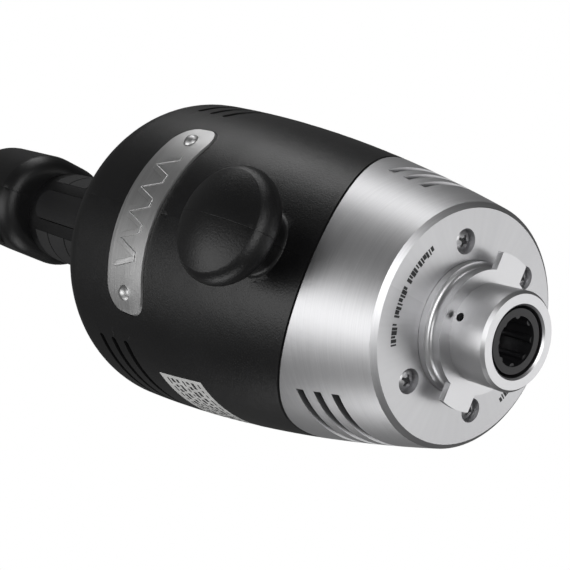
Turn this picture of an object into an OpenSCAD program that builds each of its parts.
// Power head of a heavy-duty hand blender: a barrel-shaped motor housing in
// two moulded halves with a front steadying knob and a trigger grip, a
// stainless vented collar, and a bayonet spigot with a splined drive socket.
//
// Millimetres. The origin is on the drive axis at the spigot's seating face.
// +Z runs up the drive axis to the grip, -Y is the front (knob and trigger),
// and the mould parting plane is X = 0.

/* [Barrel] */
// Largest radius that the barrel's long arc would reach
crown_r = 64.7; // [62:0.1:68]
// Radius of the long arc that forms the barrel's side
side_r = 704; // [650:1:760]
// Height of the arc's widest point above the end face
crown_z = 189.5; // [180:0.5:200]
// Height at which the side turns into the shoulder
shoulder_z = 148; // [144:0.5:152]
// Rounding radius of the shoulder
shoulder_r = 18; // [14:0.5:20]
// Wall thickness of the moulded housing
case_t = 3; // [2.5:0.1:3.5]

/* [Collar] */
// Wall thickness of the stainless collar
collar_t = 2.2; // [1.6:0.1:2.6]
// Thickness of the collar's end face
face_t = 5; // [4.5:0.1:6]
// Height of the collar's upper edge at the front and back
seam_z = 28.1; // [26:0.1:30]
// Radius of the curve that lifts the edge at the flanks
seam_r = 70.6; // [68:0.1:74]
// Height of each vent slot in the collar
vent_h = 2.9; // [2:0.1:3.5]
// Spacing of the collar's vent slots
vent_pitch = 6.95; // [6:0.05:7.5]
// Number of vent slots on each flank
vents = 3; // [2:1:3]

/* [Spigot] */
// Radius of the nose that enters the blending arm
nose_r = 15.4; // [15:0.1:16]
// Length of the nose below the seating face
nose_l = 13.1; // [12:0.1:14]
// Radius of the bore in the nose
bore_r = 11; // [10.8:0.1:11.5]
// Radius of the bayonet flange
flange_r = 19.5; // [19:0.1:20]
// Radius to the outside of the bayonet tabs
tab_r = 25; // [24:0.1:26]
// Width of each bayonet tab
tab_w = 12; // [10:0.5:14]
// Thickness of the flange and its tabs
tab_t = 2.1; // [1.8:0.1:2.5]
// Height of the end face above the seating face
face_z = 7.2; // [7:0.1:8]
// Radius of the face's screw circle
screw_pcr = 27.5; // [27:0.1:28]
// Angle of each face screw from the front or back
screw_angle = 56; // [54:0.5:60]

/* [Grip] */
// Radius of the grip
grip_r = 24.6; // [24:0.1:26]
// Length of the grip up to the head
grip_l = 150; // [145:1:155]
// Offset of the grip's foot behind the drive axis
grip_y = 22; // [18:0.5:24]
// Forward lean of the grip
grip_lean = 5; // [3:0.5:6]
// Width of the trigger
trigger_w = 16; // [14:0.5:17]

/* [Knob] */
// Radius of the knob's head
knob_r = 19.6; // [18:0.1:21]
// Radius of the knob's stem
stem_r = 10.6; // [9:0.1:12]
// Height of the knob's foot above the end face
knob_z = 50; // [48:0.5:52]
// Downward tilt of the knob
knob_tilt = 8; // [4:0.5:12]

/* [Motor] */
// Radius of the shaft at the lower bearing
shaft_r = 6; // [5:0.5:6]
// Radius of the armature
armature_r = 24.5; // [22:0.5:25]
// Outer radius of the stator
stator_r = 41; // [38:0.5:42]
// Number of fan blades
fan_blades = 12; // [8:1:14]
// Number of commutator bars
bars = 24; // [16:2:32]

/* [Hidden] */
$fn = 96;

run = 0.04;                      // radial running clearance
gap = 0.4;                       // clearance between moving mouldings
far = 200;                       // half-size of cutting blocks
side_pitch = 12;                 // spacing of the side's chords
side_top = 13 * side_pitch;
foot_z = 165;                    // height of the grip's foot above the end face
side_turn = (shoulder_z - crown_z) / side_r;        // slope of the side at the shoulder
core_x = side_x(shoulder_z) - shoulder_r * cos(asin(side_turn));
core_z = shoulder_z - shoulder_r * side_turn;
dome_r = 36;                     // radius at which the grip's flare meets the dome
gasket_t = 0.8;                  // thickness of the gasket between collar and housing
collar_rings = [0, 7, 14, 21, 27.2, 29, 34, 41, 48, 60];    // heights of the collar's rings
vent_first = 16.75;              // height of the first collar slot's middle
vent_half = 36;                  // half-angle of a vent slot
slot_first = 119.9;              // height of the first housing slot's middle
slot_pitch = 8.75;
slot_h = 3;
slot_half = 39;
plate_z = 111.7;                 // height of the nameplate's middle
plate_w = 73.6;
plate_h = 21.2;
plate_corner = 8;
plate_t = 0.8;
rivet_angle = 30;
rivet_r = 1.45;
label_z = [81.5, 106.4];
label_from = 61;                 // angle from the front at which the label begins
label_to = 104;
head_z = 212;                    // top of the head, along the grip
head_r = 29;
head_y = -11.5;                  // front centre of the head's oval
lens_r = 36;                     // radius of the knob's domed face
pin_y = -17;                     // trigger pin, in the grip's frame
pin_z = 136;
pin_r = 1.5;
trigger_z = [74, 143];           // trigger window, along the grip
plunger_z = 100;
switch_y = -12.4;
lock_y = -24;
lock_z = 172;
dial_y = -19;
gland_y = 9;
gland_r = 7;
cord_r = 4.1;
bracket_z = 134;
stator_z = [50, 106];
bolt_y = 33;
bearing_z = [2, 12];
pocket_r = 16;
top_shaft_r = 4;
screw_angles = [screw_angle, 180 - screw_angle, 180 + screw_angle, 360 - screw_angle];
top_bearing_r = 11;
top_bearing_z = [137, 144];
socket_r = 10;
spline_r = 7.7;
rib_r = 1.1;
ribs = 8;
socket_pin_z = 4;
lock_r = 5.5;
case_screws = [[54, 146, -20]];  // y, z and head seat of each
dowel = [-54, 146];              // y and z of the front locating boss
grip_screws = [[16.5, 40, -11], [16.5, 128, -11], [15, 196, -16]];
pad_from = 35;                   // angle from the front at which a grip pad begins
groove_pitch = 18;

// ---- frames ----------------------------------------------------------------

module from_face() {
    translate([0, 0, face_z]) children();
}

module in_grip() {
    translate([0, grip_y, face_z + foot_z]) rotate([grip_lean, 0, 0]) children();
}

module on_knob() {
    translate([0, -47.5, face_z + knob_z]) rotate([90 + knob_tilt, 0, 0]) children();
}

// Each rivet's seat, square to the barrel's side
module on_rivets() {
    slope = asin((crown_z - plate_z) / side_r);
    from_face() for (a = [-rivet_angle, rivet_angle])
        rotate([0, 0, a]) translate([0, -side_x(plate_z), plate_z]) rotate([90 + slope, 0, 0]) children();
}

module both_flanks() {
    children();
    mirror([1, 0, 0]) children();
}

// ---- shared shapes ---------------------------------------------------------

function side_x(z) = crown_r - side_r + sqrt(pow(side_r, 2) - pow(z - crown_z, 2));

module rounded_plate(w, h, r) {
    square([w - 2 * r, h], center = true);
    square([w, h - 2 * r], center = true);
    for (x = [-1, 1], y = [-1, 1])
        translate([x * (w / 2 - r), y * (h / 2 - r)]) circle(r);
}

module tube(ro, ri, h) {
    difference() {
        cylinder(r = ro, h = h);
        translate([0, 0, -1]) cylinder(r = ri, h = h + 2);
    }
}

// Flat outline of the barrel's side as short chords of its long arc, moved inwards by inset
module side_outline(inset, z0, z1) {
    intersection() {
        polygon(concat(
            [for (z = [-side_pitch:side_pitch:side_top]) [side_x(z) - inset / cos(asin((z - crown_z) / side_r)), z]],
            [[0, side_top], [0, -side_pitch]]));
        translate([0, z0]) square([crown_r + 10, z1 - z0]);
    }
}

// Skin between two insets of the barrel's side
module side_skin(outer, inner, z0, z1) {
    rotate_extrude() difference() {
        side_outline(outer, z0, z1);
        side_outline(inner, z0 - 1, z1 + 1);
    }
}

// Wedge about the +X flank, from the drive axis outwards
module flank_wedge(half, z0, h) {
    reach = 90;
    translate([0, 0, z0]) linear_extrude(h)
        polygon([[0, 0], [reach, -reach * tan(half)], [reach, reach * tan(half)]]);
}

// Space above the curved edge where the housing meets the collar
module above_seam(extra) {
    translate([0, 0, seam_z + seam_r]) {
        rotate([90, 0, 0]) cylinder(r = seam_r + extra, h = far, center = true);
        translate([-far / 2, -far / 2, 0]) cube([far, far, far * 2]);
    }
}

module half_space(side) {
    translate([side > 0 ? 0 : -far, -far, -far]) cube([far, far * 2, far * 4]);
}

// Oval prism with rounded ends, swept from one flat outline
module oval_solid(y0, y1) {
    for (y = [y0, y1])
        translate([0, y, 0]) rotate_extrude() children();
    translate([0, y1, 0]) rotate([90, 0, 0]) linear_extrude(y1 - y0) {
        children();
        mirror([1, 0]) children();
    }
}

// Round-wire coil along +Z from the origin
module coil(mean_r, wire_r, turns, length) {
    sides = 8;
    steps = 14;
    rings = turns * steps;
    points = [for (i = [0:rings], k = [0:sides - 1])
        let (a = 360 * i / steps, b = 360 * k / sides, r = mean_r + wire_r * cos(b))
        [r * cos(a), r * sin(a), length * i / rings + wire_r * sin(b)]];
    walls = [for (i = [0:rings - 1], k = [0:sides - 1])
        let (n = (k + 1) % sides)
        [i * sides + k, i * sides + n, (i + 1) * sides + n, (i + 1) * sides + k]];
    ends = [[for (k = [sides - 1:-1:0]) k], [for (k = [0:sides - 1]) rings * sides + k]];
    polyhedron(points = points, faces = [for (f = concat(walls, ends)) [for (j = [len(f) - 1:-1:0]) f[j]]]);
}

// ---- housing ---------------------------------------------------------------

module dome_outline(inset) {
    r = shoulder_r - inset;
    translate([core_x, core_z]) circle(r);
    translate([0, 100]) square([core_x, core_z + r - 100]);
    side_outline(inset, 10, shoulder_z);
}

// Concave flare from the dome into the grip
module flare_outline() {
    bend = dome_r - grip_r;
    difference() {
        translate([0, -10]) square([dome_r, bend + 10]);
        translate([dome_r, bend]) circle(bend);
    }
}

module head_outline(inset) {
    low = grip_l;
    edge = 9 - inset;
    crown = 13 - inset;
    r = head_r - inset;
    translate([0, low + inset]) square([r - edge, head_z - low - 2 * inset - 5]);
    translate([0, low + inset + edge]) square([r, head_z - low - 2 * inset - edge - crown]);
    translate([r - edge, low + inset + edge]) circle(edge);
    translate([r - crown, head_z - inset - crown]) circle(crown);
    translate([0, head_z - inset - 20]) square([r - crown, 20]);
}

// Mushroom outline: a stem, a rounded rim and a domed face tangent to the rim
module knob_outline() {
    rim = 6;
    top = 27;
    fillet = 2.4;
    foot = 1.4;
    lens_z = top - lens_r;
    rim_x = knob_r - rim;
    rim_z = lens_z + sqrt(pow(lens_r - rim, 2) - pow(rim_x, 2));
    square([stem_r, rim_z]);
    difference() {
        square([stem_r + fillet, fillet + foot]);
        translate([stem_r + fillet, fillet + foot]) circle(fillet);
    }
    translate([0, rim_z - rim]) square([rim_x, rim]);
    translate([rim_x, rim_z]) circle(rim);
    intersection() {
        translate([0, lens_z]) circle(lens_r);
        polygon([[0, rim_z], [rim_x, rim_z], [2 * rim_x, 2 * rim_z - lens_z], [0, 2 * rim_z - lens_z]]);
    }
}

module case_outside() {
    from_face() rotate_extrude() dome_outline(0);
    in_grip() {
        rotate_extrude() flare_outline();
        cylinder(r = grip_r, h = grip_l + 20);
        oval_solid(head_y, 0) head_outline(0);
    }
    on_knob() rotate_extrude() knob_outline();
}

module case_inside() {
    from_face() rotate_extrude() dome_outline(case_t);
    in_grip() {
        translate([0, 0, -case_t]) cylinder(r = grip_r - 4, h = grip_l + 20);
        oval_solid(head_y, 0) head_outline(3.5);
    }
    on_knob() translate([0, 0, -4]) cylinder(r = stem_r - 3, h = 20);
    on_knob() translate([0, 0, 14.6]) cylinder(r = knob_r - 6, h = 6);
}

module case_bosses() {
    from_face() for (s = concat([dowel], case_screws))
        translate([0, s[0], s[1]]) rotate([0, 90, 0]) cylinder(r = 4.6, h = 90, center = true);
    in_grip() for (s = grip_screws)
        translate([0, s[0], s[1]]) rotate([0, 90, 0]) cylinder(r = 4, h = 80, center = true);
    in_grip() translate([0.1, lock_y, lock_z]) rotate([0, 90, 0]) cylinder(r = 4.8, h = 40);
}

module bracket_seat() {
    from_face() difference() {
        for (z = [bracket_z - 3, bracket_z + 3.2]) translate([0, 0, z]) tube(60, 41.5, 2.8);
        both_flanks() flank_wedge(slot_half + 6, bracket_z - 10, 30);
    }
}

// Lip that drops inside the collar
module collar_lip() {
    intersection() {
        from_face() side_skin(collar_t + 0.2, collar_t + 2.2, 20, 70);
        from_face() above_seam(4);
    }
}

module screw_holes() {
    from_face() for (s = case_screws)
        translate([0, s[0], s[1]]) screw_hole(s[2]);
    in_grip() for (s = grip_screws)
        translate([0, s[0], s[1]]) screw_hole(s[2]);
}

module screw_hole(seat) {
    rotate([0, 90, 0]) cylinder(r = 1.6, h = 40, center = true);
    translate([seat - 60, 0, 0]) rotate([0, 90, 0]) cylinder(r = 3.6, h = 60);
}

module housing_slots() {
    both_flanks() for (i = [0:2]) translate([0, 0, face_z + slot_first + i * slot_pitch]) {
        difference() {
            flank_wedge(slot_half, -slot_h / 2, slot_h);
            cylinder(r = 52, h = 20, center = true);
        }
        for (a = [-slot_half, slot_half])
            rotate([0, 0, a]) translate([52, 0, 0]) rotate([0, 90, 0]) cylinder(r = slot_h / 2, h = 20);
    }
}

module label_pocket(outer, inner) {
    mid = (label_from + label_to) / 2;
    intersection() {
        from_face() side_skin(outer, inner, label_z[0] - 5, label_z[1] + 5);
        rotate([0, 0, -90 - mid]) flank_wedge((label_to - label_from) / 2,
            face_z + label_z[0], label_z[1] - label_z[0]);
    }
}

module plate_blank(w, h, r) {
    translate([0, -30, face_z + plate_z]) rotate([90, 0, 0]) linear_extrude(60) rounded_plate(w, h, r);
}

module trigger_window(extra) {
    mid = (trigger_z[0] + trigger_z[1]) / 2;
    in_grip() translate([0, -10, mid]) rotate([90, 0, 0]) linear_extrude(25)
        rounded_plate(trigger_w + 2 * extra, trigger_z[1] - trigger_z[0] + 2 * extra, 7);
}

module pad_blank(outer, inner, extra) {
    half = 69;
    in_grip() intersection() {
        translate([0, 0, 30 - extra]) tube(outer, inner, grip_l - 38 + 2 * extra);
        both_flanks() rotate([0, 0, pad_from + half - 90]) flank_wedge(half + extra, 0, grip_l);
    }
}

module lock_axis() {
    in_grip() translate([0, lock_y, lock_z]) rotate([0, -90, 0]) children();
}

module case_openings() {
    housing_slots();
    label_pocket(-1, 0.3);
    intersection() {
        plate_blank(plate_w + 0.6, plate_h + 0.6, plate_corner + 0.3);
        from_face() side_skin(-2, 0.3, plate_z - 30, plate_z + 30);
    }
    on_rivets() translate([0, 0, -10]) cylinder(r = rivet_r + 0.05, h = 20);
    trigger_window(gap);
    in_grip() translate([0, pin_y, pin_z]) rotate([0, 90, 0]) cylinder(r = pin_r, h = 30, center = true);
    pad_blank(grip_r + 2, grip_r - 1.4, 0.1);
    lock_axis() cylinder(r = lock_r + gap, h = 40);
    in_grip() translate([0, dial_y, head_z - 12]) cylinder(r = 9 + gap, h = 20);
    in_grip() translate([0, gland_y, head_z - 12]) cylinder(r = gland_r, h = 20);
    screw_holes();
}

module housing(side) {
    difference() {
        intersection() {
            difference() {
                case_outside();
                difference() {
                    case_inside();
                    case_bosses();
                    bracket_seat();
                }
            }
            half_space(side);
            union() {
                from_face() above_seam(0);
                on_knob() translate([0, 0, 4]) cylinder(r = 30, h = 40);
            }
        }
        case_openings();
    }
    intersection() {
        collar_lip();
        half_space(side);
    }
}

module housing_right() {
    color("#1c1c1e") housing(1);
}

module housing_left() {
    color("#1c1c1e") housing(-1);
}

// ---- collar and its trim ---------------------------------------------------

// Closed outline of the collar's wall and end face, as a chain of short cones
module collar_outline(bevel) {
    top = len(collar_rings) - 1;
    difference() {
        polygon(concat(
            [for (z = collar_rings) [side_x(z), z]],
            [for (i = [top:-1:1]) [side_x(collar_rings[i]) - collar_t, collar_rings[i]]],
            [[side_x(face_t) - collar_t, face_t], [0, face_t], [0, 0]]));
        polygon([[side_x(0) - bevel, -1], [side_x(0) - bevel, 0], [side_x(bevel) + 0.1, bevel],
                 [60, bevel], [60, -1]]);
    }
}

module collar() {
    color("#b9bbbd") from_face() difference() {
        rotate_extrude() collar_outline(1.4);
        above_seam(gasket_t);
        translate([0, 0, -1]) cylinder(r = 21.3, h = 10);
        for (a = screw_angles)
            rotate([0, 0, a - 90]) translate([screw_pcr, 0, -1]) {
                cylinder(r = 4, h = 4);
                cylinder(r = 2.2, h = 10);
            }
        both_flanks() for (i = [0:vents - 1])
            flank_wedge(vent_half, vent_first + i * vent_pitch - vent_h / 2, vent_h);
    }
}

module collar_gasket() {
    color("#0c0c0c") from_face() intersection() {
        side_skin(0.5, collar_t, 20, 70);
        difference() {
            above_seam(gasket_t);
            above_seam(0);
        }
    }
}

module collar_filters() {
    color("#151515") from_face() both_flanks() intersection() {
        side_skin(collar_t + 0.05, collar_t + 1.2, 13, 32.8);
        flank_wedge(vent_half + 3, 10, 30);
    }
}

module housing_filters() {
    color("#151515") from_face() both_flanks() intersection() {
        side_skin(case_t, case_t + 1.2, slot_first - 5, slot_first + 2 * slot_pitch + 1.4);
        flank_wedge(slot_half + 4, 100, 60);
    }
}

// ---- spigot ----------------------------------------------------------------

module spigot_hub() {
    step_r = 21.2;
    step_z = face_z - 2.4;
    neck_r = 19.3;
    fillet = 1.9;
    top = face_z + 14.5;
    base_r = 36.5;
    color("#c4c6c8") difference() {
        union() {
            rotate_extrude()
                polygon([[0, top], [step_r, top], [step_r, face_z + 11], [base_r, face_z + 11],
                         [base_r, face_z + face_t], [step_r, face_z + face_t], [step_r, step_z],
                         [neck_r, step_z], [neck_r, tab_t], [flange_r, tab_t], [flange_r, 0],
                         [nose_r, 0], [nose_r, 1 - nose_l], [nose_r - 0.9, -nose_l], [0, -nose_l]]);
            rotate_extrude() difference() {
                translate([neck_r - 1, step_z - fillet]) square([1 + fillet, fillet]);
                translate([neck_r + fillet, step_z - fillet]) circle(fillet);
            }
            intersection() {
                cylinder(r = tab_r, h = tab_t);
                translate([-far / 2, -tab_w / 2, 0]) cube([far, tab_w, tab_t]);
            }
        }
        translate([0, 0, -nose_l - 1]) cylinder(r = bore_r, h = nose_l + face_z + 10);
        translate([0, 0, -nose_l - 0.01]) cylinder(r1 = bore_r + 0.6, r2 = bore_r, h = 0.6);
        translate([0, 0, face_z - 0.6]) cylinder(r = pocket_r, h = 20);
        translate([0, 0, face_z + bearing_z[1] + 0.05]) tube(pocket_r + 1, pocket_r - 1, 1.2);
        translate([0, 0, -2.1]) rotate([90, 0, 0]) cylinder(r = 1.35, h = 20);
        for (a = screw_angles)
            rotate([0, 0, a - 90]) translate([screw_pcr, 0, face_z + face_t - 1]) cylinder(r = 2, h = 20);
        for (y = [-bolt_y, bolt_y]) translate([0, y, face_z + face_t - 1]) cylinder(r = 2, h = 20);
    }
}

// Pan-head screw standing on its shank, head downwards, with a cross recess
module pan_screw(head_r, head_h, shank_r, shank_l) {
    recess = head_r * 0.55;
    difference() {
        union() {
            rotate_extrude() intersection() {
                translate([0, -head_h]) square([head_r, head_h]);
                translate([0, head_r * 1.3 - head_h]) circle(head_r * 1.3);
            }
            cylinder(r = shank_r, h = shank_l);
        }
        for (a = [0, 90]) rotate([0, 0, a + 45])
            translate([-recess, -0.45, -head_h - 1]) cube([2 * recess, 0.9, 2]);
        translate([0, 0, -head_h - 1]) cylinder(r = recess * 0.55, h = 2.3);
    }
}

module face_screws() {
    color("#d5d7d9") for (a = screw_angles)
        rotate([0, 0, a - 90]) translate([screw_pcr, 0, face_z + 3]) rotate([0, 0, a * 3])
            pan_screw(3.5, 2.3, 1.98, 10);
}

module spigot_grub_screw() {
    color("#88898b") translate([0, -bore_r - 0.7, -2.1]) rotate([90, 0, 0]) difference() {
        cylinder(r = 1.33, h = 2.2);
        translate([0, 0, 1.2]) cylinder(r = 0.7, h = 2, $fn = 6);
    }
}

module shaft_seal() {
    color("#202020") translate([0, 0, face_z - 0.6]) tube(pocket_r, shaft_r + run, 2.5);
}

module bearing(ro, ri, z0, z1) {
    w = z1 - z0;
    translate([0, 0, face_z + z0]) difference() {
        tube(ro, ri, w);
        for (z = [-1, w - 0.5]) translate([0, 0, z]) tube(ro * 0.82, ro - (ro - ri) * 0.75, 1.5);
    }
}

module lower_bearing() {
    color("#9c9ea0") bearing(pocket_r, shaft_r + run, bearing_z[0], bearing_z[1]);
}

module bearing_circlip() {
    color("#55575a") translate([0, 0, face_z + bearing_z[1] + 0.05]) difference() {
        tube(pocket_r + 0.9, pocket_r - 2, 0.9);
        translate([0, -2, -1]) cube([30, 4, 3]);
    }
}

// ---- stator and brush gear -------------------------------------------------

module stator_core() {
    h = stator_z[1] - stator_z[0];
    color("#74777b") from_face() translate([0, 0, stator_z[0]]) difference() {
        cylinder(r = stator_r, h = h);
        translate([0, 0, -1]) cylinder(r = armature_r + 0.6, h = h + 2);
        for (s = [-1, 1]) intersection() {
            translate([0, 0, -1]) tube(stator_r - 6, armature_r - 1, h + 2);
            translate([s * 30, 0, h / 2]) cube([30, 30, h + 4], center = true);
        }
        for (y = [-bolt_y, bolt_y]) translate([0, y, -1]) cylinder(r = 2.1, h = h + 2);
    }
}

module field_coils() {
    h = stator_z[1] - stator_z[0];
    out = 8;
    color("#8a4a22") from_face() both_flanks() intersection() {
        translate([0, 0, stator_z[0] - out]) tube(stator_r - 6.4, armature_r + 1.2, h + 2 * out);
        union() {
            translate([0, -14.6, stator_z[0] - out]) cube([50, 29.2, h + 2 * out]);
            for (z = [stator_z[0] - out, stator_z[1] + 0.2]) flank_wedge(58, z, out - 0.2);
        }
    }
}

module bearing_bracket() {
    color("#a7a9ab") from_face() difference() {
        union() {
            translate([0, 0, bracket_z]) cylinder(r = 44, h = 3);
            translate([0, 0, bracket_z]) cylinder(r = top_bearing_r + 3, h = 12);
        }
        translate([0, 0, top_bearing_z[0]]) cylinder(r = top_bearing_r, h = 20);
        translate([0, 0, bracket_z - 1]) cylinder(r = 8, h = 20);
        for (a = [45:90:315]) rotate([0, 0, a]) translate([28, 0, bracket_z - 1]) cylinder(r = 8, h = 6);
        for (y = [-bolt_y, bolt_y]) translate([0, y, bracket_z - 1]) cylinder(r = 2.1, h = 6);
    }
}

module stator_bolts() {
    color("#b5b7b9") from_face() for (y = [-bolt_y, bolt_y]) translate([0, y, 0]) {
        translate([0, 0, face_t + 0.5]) cylinder(r = 1.98, h = bracket_z + 3 - face_t - 0.5);
        translate([0, 0, bracket_z + 3]) cylinder(r = 3.6, h = 3, $fn = 6);
    }
}

module upper_bearing() {
    color("#9c9ea0") bearing(top_bearing_r, top_shaft_r + run, top_bearing_z[0], top_bearing_z[1]);
}

module brush_holders() {
    color("#b08d3c") from_face() both_flanks() difference() {
        translate([18.5, -5.2, 116]) cube([22, 10.4, bracket_z - 116]);
        translate([16, -4, 118]) cube([23.5, 8, 12]);
    }
}

module carbon_brushes() {
    color("#2b2b2d") from_face() both_flanks() translate([15.1, -3.95, 118.05]) cube([14, 7.9, 11.9]);
}

module brush_springs() {
    color("#c9cbcd") from_face() both_flanks()
        translate([29.6, 0, 124]) rotate([0, 90, 0]) coil(2.8, 0.35, 6, 9.5);
}

// ---- nameplate and label ---------------------------------------------------

module nameplate() {
    color("#c9cacc") difference() {
        intersection() {
            plate_blank(plate_w, plate_h, plate_corner);
            from_face() side_skin(-plate_t, 0.3, plate_z - 30, plate_z + 30);
        }
        on_rivets() translate([0, 0, -10]) cylinder(r = rivet_r + 0.05, h = 20);
    }
}

module nameplate_rivets() {
    ball = 3.4;
    color("#d8d9db") on_rivets() {
        intersection() {
            translate([0, 0, plate_t - 1.6]) sphere(ball);
            translate([0, 0, plate_t + 0.02]) cylinder(r = 5, h = 5);
        }
        translate([0, 0, -3.2]) cylinder(r = rivet_r, h = plate_t + 3.4);
    }
}

module rating_label() {
    color("#dcdcd8") label_pocket(0.05, 0.3);
}

// ---- electrics -------------------------------------------------------------

module speed_board() {
    color("#2f6b3a") in_grip() translate([0, 4, 22]) {
        translate([-16, 0, 0]) cube([32, 1.6, 66]);
        translate([-13, 1.6, 8]) cube([10, 4, 16]);
        translate([2, 1.6, 36]) cube([9, 5, 12]);
        translate([-12, 1.6, 44]) cube([8, 3, 8]);
    }
}

module suppression_capacitor() {
    color("#c8a23a") in_grip() translate([-9, -6.2, 26]) cube([18, 10, 26]);
}

module trigger_switch() {
    color("#33363a") in_grip() difference() {
        translate([-4.6, switch_y, 92]) cube([9.2, 16, 28]);
        translate([0, switch_y - 1, plunger_z]) rotate([-90, 0, 0]) cylinder(r = 2 + run, h = 12);
        translate([0, switch_y + 8, 113]) rotate([0, 90, 0]) cylinder(r = 1.6, h = 20, center = true);
    }
}

module terminal_block() {
    color("#d9d4c4") in_grip() difference() {
        translate([-11, -3, 172]) cube([22, 12, 14]);
        for (x = [-6, 0, 6]) translate([x, 3, 171]) cylinder(r = 1.7, h = 20);
    }
}

// ---- grip furniture --------------------------------------------------------

module grip_pads() {
    color("#161617") difference() {
        pad_blank(grip_r + 0.25, grip_r - 1.4, 0);
        in_grip() for (z = [38:groove_pitch:130])
            translate([0, 0, z]) tube(grip_r + 3, grip_r - 0.5, 1.2);
        screw_holes();
    }
}

module trigger_pin() {
    color("#c2c4c6") in_grip() translate([0, pin_y, pin_z])
        rotate([0, 90, 0]) cylinder(r = pin_r - 0.01, h = 26, center = true);
}

module trigger_spring() {
    color("#c2c4c6") in_grip() translate([-2.4, pin_y, pin_z]) rotate([0, 90, 0]) coil(2.5, 0.4, 5, 4.8);
}

module housing_screws() {
    color("#a9abad") {
        from_face() for (s = case_screws) translate([s[2], s[0], s[1]]) case_screw(10 - s[2]);
        in_grip() for (s = grip_screws) translate([s[2], s[0], s[1]]) case_screw(10 - s[2]);
    }
}

module case_screw(length) {
    rotate([0, 90, 0]) pan_screw(3.2, 2.4, 1.58, length);
}

module cord_gland() {
    base = head_z - 9;
    color("#141414") in_grip() translate([0, gland_y, 0]) difference() {
        union() {
            translate([0, 0, base]) cylinder(r = gland_r - 0.05, h = 9.5);
            translate([0, 0, head_z + 0.1]) cylinder(r1 = 8.6, r2 = 6.6, h = 22);
        }
        for (i = [0:3]) translate([0, 0, head_z + 4 + i * 4.4]) tube(12, 6.2, 1.8);
        translate([0, 0, base - 1]) cylinder(r = cord_r, h = 60);
    }
}

// ---- rotor -----------------------------------------------------------------

module armature_shaft() {
    color("#b9bbbe") difference() {
        from_face() {
            translate([0, 0, -6]) cylinder(r = shaft_r, h = 130 + 6);
            translate([0, 0, 130]) cylinder(r = top_shaft_r, h = top_bearing_z[1] - 130);
        }
        translate([0, 0, socket_pin_z]) rotate([0, 90, 0]) cylinder(r = 1.5, h = 40, center = true);
    }
}

module armature_core() {
    teeth = 12;
    h = stator_z[1] - stator_z[0] - 4;
    color("#6d7074") from_face() translate([0, 0, stator_z[0] + 2]) difference() {
        tube(armature_r, shaft_r, h);
        for (i = [0:teeth - 1]) rotate([0, 0, i * 360 / teeth])
            translate([armature_r - 3.5, -1.2, -1]) cube([5, 2.4, h + 2]);
    }
}

module armature_windings() {
    color("#9a5426") from_face() for (z = [stator_z[0] - 2.5, stator_z[1] + 2.5])
        translate([0, 0, z]) rotate_extrude() {
            translate([shaft_r, -4.5]) square([12, 9]);
            translate([18, 0]) circle(4.5);
        }
}

module commutator() {
    color("#b5703a") from_face() difference() {
        union() {
            translate([0, 0, 116]) tube(15, shaft_r, 14);
            translate([0, 0, 114]) tube(17, shaft_r, 2.5);
        }
        for (i = [0:bars - 1]) rotate([0, 0, i * 360 / bars])
            translate([13.8, -0.3, 113]) cube([5, 0.6, 20]);
    }
}

module cooling_fan() {
    fan_r = bolt_y - 3.5;
    color("#e2dfd6") from_face() {
        translate([0, 0, 34]) tube(fan_r, shaft_r, 2);
        translate([0, 0, 20]) tube(11, shaft_r, 15);
        for (i = [0:fan_blades - 1]) rotate([0, 0, i * 360 / fan_blades])
            translate([10.5, -0.9, 20]) cube([fan_r - 11, 1.8, 14.5]);
    }
}

module drive_socket() {
    low = 1 - nose_l;
    top = face_z - 0.8;
    deep = 12.5;
    color("#1a1a1b") difference() {
        translate([0, 0, low]) cylinder(r = socket_r, h = top - low);
        difference() {
            translate([0, 0, low - 1]) cylinder(r = spline_r, h = deep + 1);
            for (i = [0:ribs - 1]) rotate([0, 0, (i + 0.5) * 360 / ribs])
                translate([spline_r + 0.1, 0, low + 0.6]) cylinder(r = rib_r, h = deep);
        }
        translate([0, 0, low + deep - 1]) cylinder(r = shaft_r, h = 20);
        translate([0, 0, socket_pin_z]) rotate([0, 90, 0]) cylinder(r = 1.5, h = 40, center = true);
    }
}

module socket_pin() {
    color("#8d8f92") translate([0, 0, socket_pin_z]) rotate([0, 90, 0]) cylinder(r = 1.48, h = 19.4, center = true);
}

// ---- controls --------------------------------------------------------------

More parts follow.
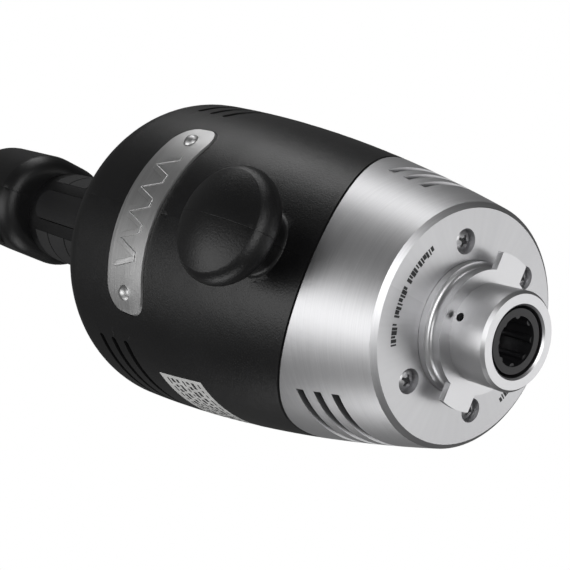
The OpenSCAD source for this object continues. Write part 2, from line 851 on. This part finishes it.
module trigger() {
    color("#232325") difference() {
        intersection() {
            trigger_window(0);
            in_grip() cylinder(r = grip_r + 1, h = grip_l);
            in_grip() translate([-20, -40, trigger_z[0] + 0.5]) cube([40, 40 + pin_y + 3.4, grip_l]);
        }
        in_grip() translate([0, pin_y, pin_z]) rotate([0, 90, 0])
            cylinder(r = pin_r + run, h = 40, center = true);
        in_grip() translate([-3.4, pin_y - 4, pin_z - 4]) cube([6.8, 20, 8]);
        in_grip() translate([-5, pin_y, trigger_z[0] - 1]) cube([10, 20, pin_z - 6 - trigger_z[0]]);
    }
}

module switch_plunger() {
    color("#c23b2c") in_grip() translate([0, pin_y + 0.2, plunger_z])
        rotate([-90, 0, 0]) cylinder(r = 2, h = 8);
}

module lock_button() {
    color("#2c2c2e") lock_axis() {
        translate([0, 0, 14]) cylinder(r = lock_r, h = 13.6);
        translate([0, 0, 13]) cylinder(r = lock_r + 1.4, h = 1.4);
    }
}

module lock_spring() {
    color("#c2c4c6") lock_axis() translate([0, 0, 0.5]) coil(4, 0.4, 6, 12);
}

module speed_dial() {
    color("#202022") in_grip() translate([0, dial_y, head_z - 3]) difference() {
        union() {
            cylinder(r = 9, h = 6.5);
            translate([0, 0, -8]) cylinder(r = 3, h = 9);
        }
        for (i = [0:17]) rotate([0, 0, i * 20]) translate([9.6, 0, 3.4]) cylinder(r = 1, h = 8);
        translate([-0.5, 3, 6]) cube([1, 7, 2]);
    }
}

housing_right();
housing_left();
collar();
collar_gasket();
collar_filters();
housing_filters();
spigot_hub();
face_screws();
spigot_grub_screw();
shaft_seal();
lower_bearing();
bearing_circlip();
stator_core();
field_coils();
bearing_bracket();
stator_bolts();
upper_bearing();
brush_holders();
carbon_brushes();
brush_springs();
nameplate();
nameplate_rivets();
rating_label();
speed_board();
suppression_capacitor();
trigger_switch();
terminal_block();
grip_pads();
trigger_pin();
trigger_spring();
housing_screws();
cord_gland();
armature_shaft();
armature_core();
armature_windings();
commutator();
cooling_fan();
drive_socket();
socket_pin();
trigger();
switch_plunger();
lock_button();
lock_spring();
speed_dial();
